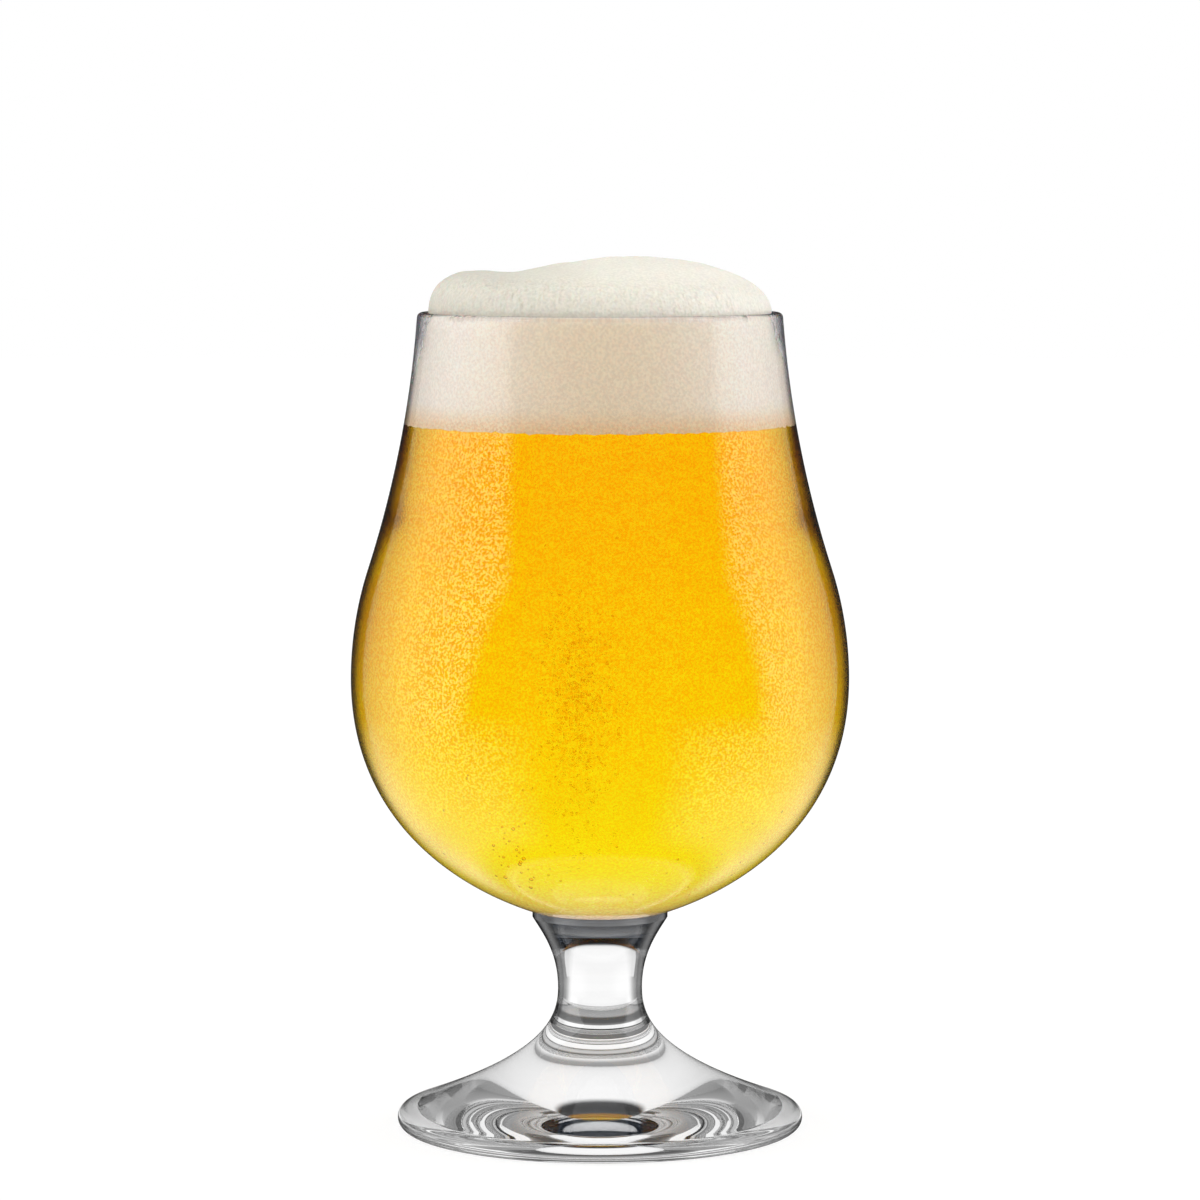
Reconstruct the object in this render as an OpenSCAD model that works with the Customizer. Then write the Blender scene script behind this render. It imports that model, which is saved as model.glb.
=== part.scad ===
// Tulip beer glass: a blown bowl on a short stem and a pressed foot, filled with beer under a head of foam.
// Sizes are in millimetres and angles in degrees. The glass is round about Z and stands on Z = 0.

/* [Bowl] */
// Height of the rim above the table
rim_h = 155; // [146:1:170]
// Outer diameter of the rim
rim_d = 68.9; // [62:0.1:75]
// Inward lean of the wall at the rim, as a share of the mean slope from the belly to the rim
lean_share = 0.424; // [0.1:0.002:0.7]
// Outer diameter of the belly, the widest place of the bowl
belly_d = 94.3; // [88:0.1:104]
// Height of the belly above the table
belly_h = 85.7; // [78:0.1:92]
// Radius of the outline between the belly and the neck
shoulder_r = 67.7; // [58:0.1:76]
// How far the outline keeps upright below the belly
flank_h = 25.1; // [18:0.1:32]
// How far the outline keeps its slope beside the collar
under_w = 17.5; // [8:0.5:22]
// Thickness of the wall, which the rim rounds off
wall = 2; // [1.2:0.1:3]

/* [Stem] */
// Diameter of the collar that carries the bowl
collar_d = 25.7; // [20:0.1:30]
// Height of the seam between collar and bowl, at its outer edge
seam_h = 41.5; // [38:0.1:46]
// Slope of the bowl at the seam
seam_slope = 18.5; // [10:0.5:24]
// Height of the upright edge of the collar
collar_edge = 1.2; // [0.5:0.1:2.5]
// Slant of the collar below its edge, from upright
collar_slant = 31.5; // [15:0.5:45]
// How far the collar keeps its slant
collar_reach = 3.6; // [2:0.1:6]
// Diameter of the waist, the thinnest place of the stem
waist_d = 16; // [12:0.2:19]
// Height of the waist, where stem and foot are fused
waist_h = 26.6; // [24:0.1:30]
// How far the stem keeps upright above the waist
waist_reach = 6.8; // [3:0.1:9]

/* [Foot] */
// Diameter of the foot
foot_d = 77.1; // [68:0.1:90]
// Radius of the rounded edge of the foot
edge_r = 2; // [1.2:0.1:3]
// Slope of the top of the foot at its edge
foot_slope = 19.7; // [12:0.1:26]
// How far the top of the foot keeps that slope
foot_reach = 27.6; // [18:0.1:32]
// How far the foot keeps upright below the waist
flare_h = 6.4; // [3:0.1:10]
// Width of the ring that the glass stands on
ring_w = 3.2; // [1:0.1:8]
// Height of the shallow hollow under the foot
hollow_h = 1.6; // [0.5:0.1:3]

/* [Fill] */
// Depth of the top of the beer below the rim
fill_drop = 21; // [13:0.5:45]
// Gap between the fill and the wall
fill_gap = 0.1; // [0.05:0.05:0.3]
// Height of the crown of foam above the rim, at its middle
crown_h = 9.8; // [4:0.1:16]
// How square the shoulder of the crown is, where 2 is an ellipse
crown_squareness = 3.2; // [2:0.1:5]
// Tilt of the crown, whose right side stands higher
crown_tilt = 2; // [0:0.1:3]
// Gap between the crown and the inside of the rim
crown_gap = 0.6; // [0.4:0.1:3]
// How far the crown reaches down inside the rim
crown_root = 4; // [3:0.1:6]

/* [Hidden] */
$fn = 96;

rim_r = rim_d / 2;
belly_r = belly_d / 2;
collar_r = collar_d / 2;
waist_r = waist_d / 2;
foot_r = foot_d / 2;
beer_h = rim_h - fill_drop;

// Straight pieces that each curved stretch of an outline is drawn with
arc_steps = 10;
curve_steps = 24;
seat_steps = 5;
rim_steps = 8;

// How far the crown's root is sunk into the foam that fills the neck
crown_lap = 2;

// Points on an arc without its first one, so that stretches can be joined
function arc(c, r, from, to, steps) =
    [for (i = [1:steps]) let (a = from + (to - from) * i / steps) c + r * [cos(a), sin(a)]];

// Point and direction on a cubic curve with end points p[0], p[3] and handles p[1], p[2]
function on_curve(p, t) =
    pow(1 - t, 3) * p[0] + 3 * pow(1 - t, 2) * t * p[1] + 3 * (1 - t) * t * t * p[2] + pow(t, 3) * p[3];
function curve_way(p, t) =
    let (
        legs = [for (i = [0:2]) p[i + 1] - p[i]],
        v = pow(1 - t, 2) * legs[0] + 2 * (1 - t) * t * legs[1] + t * t * legs[2]
    ) v / norm(v);

// Points on a cubic curve without its first one, moved sideways to the right of its way by a distance
function curve(p, steps, aside = 0) =
    [for (i = [1:steps]) let (t = i / steps, w = curve_way(p, t)) on_curve(p, t) + aside * [w.y, -w.x]];

// The wall meets the round of the rim here, and rim_out points outward from it.
rim_lean = lean_share * atan2(belly_r - rim_r, rim_h - belly_h);
rim_out = [cos(rim_lean), sin(rim_lean)];
rim_end = [rim_r, rim_h - wall / 2 * (1 - sin(rim_lean))];

// The shoulder's arc starts upright at the belly. The neck's arc touches it and the wall's lean at the rim.
shoulder_c = [belly_r - shoulder_r, belly_h];
rise = rim_end - shoulder_c;
neck_r = (rise * rise - pow(shoulder_r, 2)) / (2 * (shoulder_r - rise * rim_out));
neck_c = rim_end + neck_r * rim_out;
bend = atan2(neck_c.y - shoulder_c.y, neck_c.x - shoulder_c.x);

// Below the belly a curve leads to the seam, and a round bottom lies in the collar.
seam_end = [collar_r, seam_h];
lower = [
    [belly_r, belly_h],
    [belly_r, belly_h - flank_h],
    seam_end + under_w * [cos(seam_slope), sin(seam_slope)],
    seam_end
];
seat_r = collar_r / sin(seam_slope);
seat_c = [0, seam_h + seat_r * cos(seam_slope)];

// Outline of the bowl from rim to axis, at a depth below its outer face
function bowl_line(depth) = concat(
    [rim_end - depth * rim_out],
    arc(neck_c, neck_r + depth, 180 + rim_lean, 180 + bend, arc_steps),
    arc(shoulder_c, shoulder_r - depth, bend, 0, arc_steps),
    curve(lower, curve_steps, depth),
    arc(seat_c, seat_r - depth, seam_slope - 90, -90, seat_steps)
);
function reversed(points) = [for (i = [len(points) - 1:-1:0]) points[i]];

module bowl() {
    round_c = rim_end - wall / 2 * rim_out;
    color([0.86, 0.91, 0.93, 0.4])
        rotate_extrude()
            polygon(concat(
                bowl_line(0),
                reversed(bowl_line(wall)),
                reversed(arc(round_c, wall / 2, rim_lean, rim_lean + 180 - 180 / rim_steps, rim_steps - 1))
            ));
}

// The collar cups the bowl's round bottom, and the stem draws in from it to the waist.
module stem() {
    collar_low = [collar_r, seam_h - collar_edge];
    side = [
        collar_low,
        collar_low + collar_reach * [-sin(collar_slant), -cos(collar_slant)],
        [waist_r, waist_h + waist_reach],
        [waist_r, waist_h]
    ];
    color([0.80, 0.86, 0.88, 0.5])
        rotate_extrude()
            polygon(concat(
                [[0, waist_h]],
                reversed(arc(seat_c, seat_r, seam_slope - 90, -90, seat_steps)),
                [seam_end, collar_low],
                curve(side, curve_steps)
            ));
}

// The foot's top sweeps down from the waist to a rounded edge, and a large ball hollows its underside.
module foot() {
    hollow_d = foot_d - 2 * (edge_r + ring_w);
    ball_r = (pow(hollow_d / 2, 2) + pow(hollow_h, 2)) / (2 * hollow_h);
    edge_c = [foot_r - edge_r, edge_r];
    edge_top = edge_c + edge_r * [sin(foot_slope), cos(foot_slope)];
    top = [
        [waist_r, waist_h],
        [waist_r, waist_h - flare_h],
        edge_top + foot_reach * [-cos(foot_slope), sin(foot_slope)],
        edge_top
    ];
    color([0.80, 0.86, 0.88, 0.5])
        difference() {
            rotate_extrude()
                polygon(concat(
                    [[0, 0], [0, waist_h], [waist_r, waist_h]],
                    curve(top, curve_steps),
                    arc(edge_c, edge_r, 90 - foot_slope, -90, rim_steps)
                ));
            translate([0, 0, hollow_h - ball_r]) sphere(ball_r, $fn = 180);
        }
}

// What fits inside the bowl between two heights
module filling(low, high) {
    rotate_extrude()
        intersection() {
            polygon(concat(bowl_line(wall + fill_gap), [[0, rim_end.y]]));
            translate([0, low]) square([belly_r, high - low]);
        }
}

module beer() {
    color([0.98, 0.74, 0.10, 0.85])
        filling(0, beer_h);
}

// The foam fills the neck from the beer to just below the rim, and its crown stands above the rim.
module foam_head() {
    crown_r = rim_r - wall - crown_gap;
    root = -crown_root - crown_lap;
    color([0.96, 0.93, 0.85])
        union() {
            filling(beer_h, rim_h - crown_root);
            translate([0, 0, rim_h])
                rotate([0, -crown_tilt, 0])
                    rotate_extrude()
                        polygon(concat(
                            [[0, root], [crown_r, root], [crown_r, 0]],
                            [for (i = [1:curve_steps]) let (a = 90 * i / curve_steps) [
                                crown_r * pow(cos(a), 2 / crown_squareness),
                                crown_h * pow(sin(a), 2 / crown_squareness)
                            ]]
                        ));
        }
}

bowl();
stem();
foot();
beer();
foam_head();
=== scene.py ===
# %% [markdown]
# # A tulip glass of beer
# This lesson dresses a imported CAD model of a stemmed tulip glass. The CAD model fixes every size, and this
# script makes the looks: clear glass, golden beer with its bubbles, and a head of froth. It starts by
# loading the model as a fixed frame.

import math

import bmesh
import bpy
import numpy as np
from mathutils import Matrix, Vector, noise


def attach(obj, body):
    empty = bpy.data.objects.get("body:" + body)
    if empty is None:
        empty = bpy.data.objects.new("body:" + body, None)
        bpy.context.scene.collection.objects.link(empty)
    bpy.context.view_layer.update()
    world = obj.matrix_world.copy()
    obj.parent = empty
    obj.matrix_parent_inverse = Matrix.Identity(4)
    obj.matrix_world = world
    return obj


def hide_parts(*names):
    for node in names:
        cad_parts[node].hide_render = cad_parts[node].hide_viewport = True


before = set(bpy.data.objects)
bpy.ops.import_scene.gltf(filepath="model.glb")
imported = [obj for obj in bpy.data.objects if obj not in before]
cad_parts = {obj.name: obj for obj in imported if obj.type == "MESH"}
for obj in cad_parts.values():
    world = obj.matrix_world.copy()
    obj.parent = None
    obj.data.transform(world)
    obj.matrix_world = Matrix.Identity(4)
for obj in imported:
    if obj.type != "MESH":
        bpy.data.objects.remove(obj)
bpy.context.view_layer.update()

# %% [markdown]
# ## The outline of the glass
# A glass like this is round about its axis, so one outline describes it: a rim that leans in, a neck, a
# wide belly, and a round bottom that lies in the collar of the stem. The outline is made of arcs and cubic
# curves with the CAD model's own sizes, in millimetres, because curves that run on smoothly refract light
# smoothly. Facets, which a plain solid can have unseen, would show up in clear glass as bands.

# %% Sizes of the bowl and its fill
MM = 0.001
rim_h, rim_r = 155.0, 34.45
belly_h, belly_r = 85.7, 47.15
shoulder_r = 67.7
flank_h, under_w = 25.1, 17.5
wall = 2.0
collar_r, seam_h, seam_slope = 12.85, 41.5, math.radians(18.5)
lean_share = 0.424
rim_lean = lean_share * math.atan2(belly_r - rim_r, rim_h - belly_h)
beer_h = 134.0
print("the wall leans in by %.2f degrees at the rim" % math.degrees(rim_lean))


# %% Points, arcs and cubic curves
def point(*values):
    """A point in the plane of the outline: its distance from the axis and its height."""
    return np.array(values, float)


def way(angle):
    """A direction in that plane, by its angle from level."""
    return point(math.cos(angle), math.sin(angle))


def arc(centre, radius, start, end, steps):
    """Points on an arc, without its first one."""
    return [centre + radius * way(start + (end - start) * i / steps) for i in range(1, steps + 1)]


def curve(handles, steps, aside=0.0):
    """Points on a cubic curve without its first one, moved to the right of its way by a distance."""
    a, b, c, d = handles
    points = []
    for i in range(1, steps + 1):
        t = i / steps
        s = 1 - t
        along = s * s * (b - a) + 2 * s * t * (c - b) + t * t * (d - c)
        along /= np.linalg.norm(along)
        here = s**3 * a + 3 * s * s * t * b + 3 * s * t * t * c + t**3 * d
        points.append(here + aside * point(along[1], -along[0]))
    return points


# %% Where the bowl's arcs meet
rim_out = way(rim_lean)
rim_end = point(rim_r, rim_h - wall / 2 * (1 - rim_out[1]))
shoulder_c = point(belly_r - shoulder_r, belly_h)
to_rim = rim_end - shoulder_c
neck_r = (to_rim @ to_rim - shoulder_r**2) / (2 * (shoulder_r - to_rim @ rim_out))
neck_c = rim_end + neck_r * rim_out
bend = math.atan2(neck_c[1] - shoulder_c[1], neck_c[0] - shoulder_c[0])
seam_end = point(collar_r, seam_h)
lower = (
    point(belly_r, belly_h),
    point(belly_r, belly_h - flank_h),
    seam_end + under_w * way(seam_slope),
    seam_end,
)
seat_r = collar_r / math.sin(seam_slope)
seat_c = point(0, seam_h + seat_r * math.cos(seam_slope))
print("neck arc %.1f mm, bend %.2f degrees" % (neck_r, math.degrees(bend)))

# %% The bowl's line at any depth
ARC_STEPS, FLANK_STEPS, SEAT_STEPS = 40, 80, 16


def bowl_line(depth):
    """The bowl's outline from the rim to the seam, at a depth below its outer face."""
    return (
        [rim_end - depth * rim_out]
        + arc(neck_c, neck_r + depth, math.pi + rim_lean, math.pi + bend, ARC_STEPS)
        + arc(shoulder_c, shoulder_r - depth, bend, 0, ARC_STEPS)
        + curve(lower, FLANK_STEPS, depth)
    )


def seat_line(depth):
    """The round bottom, from the seam to the axis."""
    return arc(seat_c, seat_r - depth, seam_slope - math.pi / 2, -math.pi / 2, SEAT_STEPS)


print("points on one face of the bowl:", len(bowl_line(0) + seat_line(0)))

# %% [markdown]
# ## Turning an outline
# Each piece of glass is turned like a pot on a wheel: the outline is copied round the axis in many steps
# and the copies are joined with faces. Blender's Screw modifier does the same, but here each stretch of the
# outline also carries its own finish, because glass that is fused to glass has no surface of its own at the
# seam.


# %% Put things in the scene
def placed(name, data):
    """A new object in the scene."""
    thing = bpy.data.objects.new(name, data)
    bpy.context.scene.collection.objects.link(thing)
    return thing


def smooth_piece(name, vertices, faces, finishes, marks):
    """A piece with smooth faces, each marked with the number of its finish."""
    mesh = bpy.data.meshes.new(name)
    mesh.from_pydata(vertices, [], faces)
    for finish in finishes:
        mesh.materials.append(finish)
    mesh.polygons.foreach_set("material_index", marks)
    mesh.polygons.foreach_set("use_smooth", [True] * len(faces))
    mesh.update()
    print(name, len(vertices), "vertices", len(faces), "faces")
    return placed(name, mesh)


# %% Turn an outline into a piece
TURNS = 256
CREASE = math.radians(40)


def turned(name, outline, finishes, finish_of=lambda stretch: 0):
    """A closed piece from an outline in mm that starts and ends on the axis."""
    outline = np.array(outline) * MM
    angles = 2 * math.pi * np.arange(TURNS) / TURNS
    spokes = np.stack([np.cos(angles), np.sin(angles)], 1)
    vertices = [(0, 0, outline[0][1])]
    for r, z in outline[1:-1]:
        vertices += [(r * c, r * s, z) for c, s in spokes]
    vertices.append((0, 0, outline[-1][1]))
    faces, marks = [], []
    for k in range(len(outline) - 1):
        low, high = 1 + (k - 1) * TURNS, 1 + k * TURNS
        for j in range(TURNS):
            n = (j + 1) % TURNS
            if k == 0:
                faces.append((0, high + n, high + j))
            elif k == len(outline) - 2:
                faces.append((len(vertices) - 1, low + j, low + n))
            else:
                faces.append((low + j, low + n, high + n, high + j))
        marks += [finish_of(k)] * TURNS
    piece = smooth_piece(name, vertices, faces, finishes, marks)
    piece.data.set_sharp_from_angle(angle=CREASE)
    return piece


# %% [markdown]
# ## The camera
# The photograph was taken from a little above the rim with a long lens, which shows the rim as a thin
# ellipse and the foot as a wider one. Those two ellipses and the outline give the camera's distance, height
# and lens.

# %% Camera
LENS, SENSOR, NEAR = 147.0, 36.0, 0.01
CAMERA_PLACE, LOOKS_DOWN = (0, -0.9236, 0.1798), 4.90
camera_data = bpy.data.cameras.new("camera")
camera_data.lens = LENS
camera_data.sensor_width = SENSOR
camera_data.clip_start = NEAR
camera = placed("camera", camera_data)
camera.location = CAMERA_PLACE
camera.rotation_euler = (math.radians(90 - LOOKS_DOWN), 0, 0)
bpy.context.scene.camera = camera
print("camera", CAMERA_PLACE, "lens", LENS, "mm, looking down by", LOOKS_DOWN, "degrees")

# %% [markdown]
# ## Wiring a finish
# Every finish in this lesson is a small network of shader nodes. It could be drawn by hand in the shader
# editor, but a script can use the same part of a network again. The helpers here make and join nodes, turn
# one number into another or into a colour, say where a point is, and stand for whole surfaces.


# %% Make and join nodes
def plug(tree, socket, value):
    """Join a socket to another node's output, or set its value. A colour leaves out its alpha."""
    if isinstance(value, bpy.types.NodeSocket):
        tree.links.new(value, socket)
    elif socket.type == "RGBA":
        socket.default_value = (*value, 1)
    else:
        socket.default_value = value


def wire(tree, kind, inputs=None, **settings):
    """A new shader node with its settings, and inputs that are values or other nodes' outputs."""
    node = tree.nodes.new(kind)
    for key, value in settings.items():
        setattr(node, key, value)
    for key, value in (inputs or {}).items():
        plug(tree, node.inputs[key], value)
    return node


def fresh_tree(owner):
    """An empty node tree on a world or a material."""
    owner.use_nodes = True
    owner.node_tree.nodes.clear()
    return owner.node_tree


def fresh_finish(name):
    """A new material and its empty node tree."""
    finish = bpy.data.materials.new(name)
    return finish, fresh_tree(finish)


# %% Numbers
def reckoned(tree, operation, a, b=0.0):
    """One step of arithmetic."""
    return wire(tree, "ShaderNodeMath", {0: a, 1: b}, operation=operation).outputs[0]


def product(tree, first, *others):
    """Numbers multiplied in turn."""
    for other in others:
        first = reckoned(tree, "MULTIPLY", first, other)
    return first


def eased(tree, value, start, end, low=0.0, high=1.0):
    """A number that goes softly from low to high while the value goes from start to end."""
    inputs = {"Value": value, "From Min": start, "From Max": end, "To Min": low, "To Max": high}
    return wire(tree, "ShaderNodeMapRange", inputs, interpolation_type="SMOOTHSTEP").outputs[0]


def eased_mm(tree, length, start, end, low=0.0, high=1.0):
    """The same for a length, with its start and end in millimetres."""
    return eased(tree, length, start * MM, end * MM, low, high)


# %% Colours
WHITE, BLACK = (1.0, 1.0, 1.0), (0.0, 0.0, 0.0)


def stops(tree, value, *marks):
    """A colour that runs straight from stop to stop, each given as a value and a colour or a grey."""
    node = wire(tree, "ShaderNodeValToRGB", {"Fac": value})
    band = node.color_ramp.elements
    band[0].position, band[-1].position = marks[0][0], marks[-1][0]
    for at, _ in marks[1:-1]:
        band.new(at)
    for element, (_, tone) in zip(band, marks):
        element.color = (*tone, 1) if isinstance(tone, tuple) else (tone, tone, tone, 1)
    return node.outputs["Color"]


def mixed(tree, factor, a, b, kind="RGBA", blend="MIX"):
    """Two colours or numbers mixed by a factor."""
    node = wire(tree, "ShaderNodeMix", data_type=kind, blend_type=blend)
    sockets = [s for s in node.inputs if s.enabled]
    for socket, value in zip(sockets, (factor, a, b)):
        plug(tree, socket, value)
    return next(s for s in node.outputs if s.enabled)


def tinted(tree, colour, tint):
    """A colour multiplied by another, or by a number."""
    return mixed(tree, 1.0, colour, tint, blend="MULTIPLY")


# %% Places
def split_up(tree, place):
    """The X, Y and Z of a place."""
    return wire(tree, "ShaderNodeSeparateXYZ", {0: place}).outputs


def room_place(tree):
    """A point's place in the room, whole and split up."""
    place = wire(tree, "ShaderNodeNewGeometry").outputs["Position"]
    return place, split_up(tree, place)


def object_place(tree):
    """A point's place on the object, whole and split up."""
    place = wire(tree, "ShaderNodeTexCoord").outputs["Object"]
    return place, split_up(tree, place)


def stretched(tree, place, scale):
    """A place with its X, Y and Z scaled."""
    return wire(tree, "ShaderNodeVectorMath", {0: place, 1: scale}, operation="MULTIPLY").outputs[0]


def from_axis(tree, place):
    """How far a place is from the axis of the glass."""
    flat = stretched(tree, place, (1, 1, 0))
    return wire(tree, "ShaderNodeVectorMath", {0: flat}, operation="LENGTH").outputs["Value"]


def sideways_share(tree, x, out):
    """1 for a place straight to the left or right of the axis, and 0 for one in front or behind."""
    return reckoned(tree, "DIVIDE", reckoned(tree, "ABSOLUTE", x), out)


# %% Surfaces
def slanted(tree, **more):
    """0 where a surface faces the eye, and 1 where it is seen edge on."""
    return wire(tree, "ShaderNodeLayerWeight", {"Blend": 0.5, **more}).outputs["Facing"]


def leaving(tree):
    """1 where light meets a surface from inside."""
    return wire(tree, "ShaderNodeNewGeometry").outputs["Backfacing"]


def glowing(tree, strength, colour=WHITE):
    """A surface that gives off light."""
    return wire(tree, "ShaderNodeEmission", {"Color": colour, "Strength": strength}).outputs[0]


def see_through(tree):
    """A surface that lets light straight through."""
    return wire(tree, "ShaderNodeBsdfTransparent", {"Color": WHITE}).outputs[0]


def either(tree, factor, a, b):
    """Two surfaces mixed by a factor."""
    return wire(tree, "ShaderNodeMixShader", {0: factor, 1: a, 2: b}).outputs[0]


def wear(tree, surface, **more):
    """The surface that a material shows in the end."""
    wire(tree, "ShaderNodeOutputMaterial", {"Surface": surface, **more})


# %% [markdown]
# ## The studio
# Glass has no colour of its own: it shows what stands round it. The studio is a white room. A picture of a
# room could light the glass too, but a few eased numbers say plainly what is bright and what is dark. What
# glass mirrors is kept dark, so that the beer keeps its full colour. What the stem and foot let through is
# darker above and in front, which draws their shape, and what the drink lets through is bright nearly to
# the top.

# %% Tell light apart
NO_BOUNCE, FEW_SURFACES = 0.5, 3.5


def straight(tree, path):
    """1 for light that has touched no froth or table."""
    return reckoned(tree, "LESS_THAN", path["Diffuse Depth"], NO_BOUNCE)


def thin_glass(tree, path):
    """1 for light that has passed only a few clear surfaces and no froth, so not the drink."""
    few = reckoned(tree, "LESS_THAN", path["Transmission Depth"], FEW_SURFACES)
    return product(tree, few, straight(tree, path))


# %% Room
ROOM_LIGHT, MIRRORED_LIGHT, FROTH_LIGHT = 0.92, 0.03, 1.05
DARK_ABOVE, DIM_IN_FRONT = 0.04, 0.35
STEM_CEILING, DRINK_CEILING, FRONT = (0.48, 0.58), (0.8, 0.95), (-0.5, 0.0)
world = bpy.data.worlds.new("studio")
bpy.context.scene.world = world
tree = fresh_tree(world)
path = wire(tree, "ShaderNodeLightPath").outputs
compass = split_up(tree, wire(tree, "ShaderNodeTexCoord").outputs["Generated"])
above = eased(tree, compass["Z"], *STEM_CEILING, 1.0, DARK_ABOVE)
in_front = eased(tree, compass["Y"], *FRONT, DIM_IN_FRONT, 1.0)
by_drink = eased(tree, compass["Z"], *DRINK_CEILING, 1.0, DARK_ABOVE)
by_drink = mixed(tree, straight(tree, path), FROTH_LIGHT, by_drink, "FLOAT")
let_through = mixed(tree, thin_glass(tree, path), by_drink, product(tree, above, in_front), "FLOAT")
light = mixed(tree, path["Is Glossy Ray"], ROOM_LIGHT, MIRRORED_LIGHT, "FLOAT")
light = mixed(tree, path["Is Transmission Ray"], light, let_through, "FLOAT")
light = mixed(tree, path["Is Camera Ray"], light, 1.0, "FLOAT")
glow = wire(tree, "ShaderNodeBackground", {"Color": WHITE, "Strength": light})
wire(tree, "ShaderNodeOutputWorld", {"Surface": glow.outputs[0]})
print("room light", ROOM_LIGHT, "mirrored", MIRRORED_LIGHT, "on the froth through glass", FROTH_LIGHT)

# %% [markdown]
# Three softboxes give the froth its form: one at each side and one in front. Area lamps do that, because
# their size makes soft shadows. Mirrors don't show them, since the sheen on the glass comes from panels of
# its own.


# %% Lamps
def softbox(name, place, size, power):
    """A rectangular lamp that stands upright and faces the axis of the glass. Mirrors don't show it."""
    lamp = bpy.data.lights.new(name, "AREA")
    lamp.shape = "RECTANGLE"
    lamp.size, lamp.size_y = size
    lamp.energy = power
    holder = placed(name, lamp)
    holder.location = place
    aim = Vector((-place[0], -place[1], 0))
    holder.rotation_euler = aim.to_track_quat("-Z", "Z").to_euler()
    holder.visible_glossy = False
    print(name, "radiance %.2f" % (power / (math.pi * size[0] * size[1])))


softbox("softbox_left", place=(-0.7, 0.0, 0.3), size=(1.3, 0.62), power=4.4)
softbox("softbox_right", place=(0.7, 0.12, 0.3), size=(0.95, 0.62), power=4.2)
softbox("softbox_front", place=(0.0, -1.3, 0.4), size=(1.0, 0.7), power=5.3)

# %% [markdown]
# The pale sheen over the left and right flank of the bowl is the mirror image of two tall white panels.
# They reach below the level of the table, because the underside of the belly mirrors what is low. A lamp is
# evenly bright, and a sheet with a glow of its own can also lean, end softly and fade, so the panels are
# sheets.


# %% Sheets of the studio
def flat_sheet(name, corners, unseen_by=()):
    """A single flat sheet that belongs to the studio. Gives the empty node tree of its finish."""
    mesh = bpy.data.meshes.new(name)
    mesh.from_pydata(corners, [], [(0, 1, 2, 3)])
    finish, tree = fresh_finish(name)
    mesh.materials.append(finish)
    sheet = placed(name, mesh)
    for rays in unseen_by:
        setattr(sheet, "visible_" + rays, False)
    print(name, "from", corners[0], "to", corners[2])
    return tree


def upright(a, b, low, high):
    """The corners of a sheet that stands on the line from a to b."""
    return [(*a, low), (*b, low), (*b, high), (*a, high)]


# %% Panels
PANEL_LOW, PANEL_HIGH, PANEL_FRONT, PANEL_BACK = -0.45, 0.9, -0.9, 0.8
SOFT_EDGE, SOFT_FOOT = 0.09, 0.3
FADE_OVER, FADE_LIGHT = (-0.25, 0.65), (2.2, 0.5)


def panel(name, x, edge, lean):
    """A white panel that only mirrors show. Its soft front edge leans, and it fades out to the back."""
    corners = upright((x, PANEL_FRONT), (x, PANEL_BACK), PANEL_LOW, PANEL_HIGH)
    tree = flat_sheet(name, corners, ("camera", "diffuse", "transmission", "shadow"))
    _, split = room_place(tree)
    behind = reckoned(tree, "ADD", product(tree, split["Z"], lean), split["Y"])
    behind = eased(tree, behind, edge - SOFT_EDGE, edge + SOFT_EDGE)
    upper = eased(tree, split["Z"], PANEL_LOW, PANEL_LOW + SOFT_FOOT)
    fading = eased(tree, split["Y"], *FADE_OVER, *FADE_LIGHT)
    wear(tree, glowing(tree, product(tree, upper, behind, fading)))


panel("panel_left", x=-0.7, edge=-0.35, lean=0.44)
panel("panel_right", x=0.7, edge=-0.14, lean=0.26)

# %% [markdown]
# Clear glass shows the lamps as hard white patches. A photographer hangs cards in their way, and so does
# this studio. The stem and foot show the cards grey, the drink shows them white, and light for the froth
# passes.

# %% Cards
CARD_FADE = (-0.7, 0.6)


def card(name, corners, greys):
    """A card in front of a lamp. The stem and foot show it in these greys, from its front to its back."""
    tree = flat_sheet(name, corners, ("camera", "diffuse", "glossy", "shadow"))
    path = wire(tree, "ShaderNodeLightPath").outputs
    _, split = room_place(tree)
    grey = eased(tree, split["Y"], *CARD_FADE, *greys)
    grey = mixed(tree, thin_glass(tree, path), 1.0, grey, "FLOAT")
    wear(tree, either(tree, straight(tree, path), see_through(tree), glowing(tree, grey)))


card("card_left", upright((-0.62, -0.75), (-0.62, 0.75), 0.0, 0.65), greys=(0.65, 0.3))
card("card_right", upright((0.6, -0.5), (0.6, 0.75), 0.0, 0.65), greys=(0.65, 0.3))
card("card_front", upright((-0.6, -1.2), (0.6, -1.2), 0.0, 0.85), greys=(0.62, 0.62))

# %% [markdown]
# The table is bright to the camera, so that it runs into the white room without a seam, and takes a faint
# shadow round the foot. A clear foot gathers light like a lens and lays rings of light and dark on the
# table under it. A path tracer finds such rings only with very many samples, so they are drawn on the table
# here, for the eye that looks through the foot.

# %% Table
TABLE_REACH = 4.0
TABLE_GREY = (0.8, 0.8, 0.8)
corners = [(-TABLE_REACH, -TABLE_REACH, 0), (TABLE_REACH, -TABLE_REACH, 0)]
corners += [(-x, -y, z) for x, y, z in corners]
tree = flat_sheet("table", corners)
path = wire(tree, "ShaderNodeLightPath").outputs
place, split = room_place(tree)
away = from_axis(tree, place)
aside = sideways_share(tree, split["X"], away)
matt = wire(tree, "ShaderNodeBsdfDiffuse", {"Color": TABLE_GREY}).outputs[0]

# %% Rings under the foot
RINGS_TO = 0.05
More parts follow.
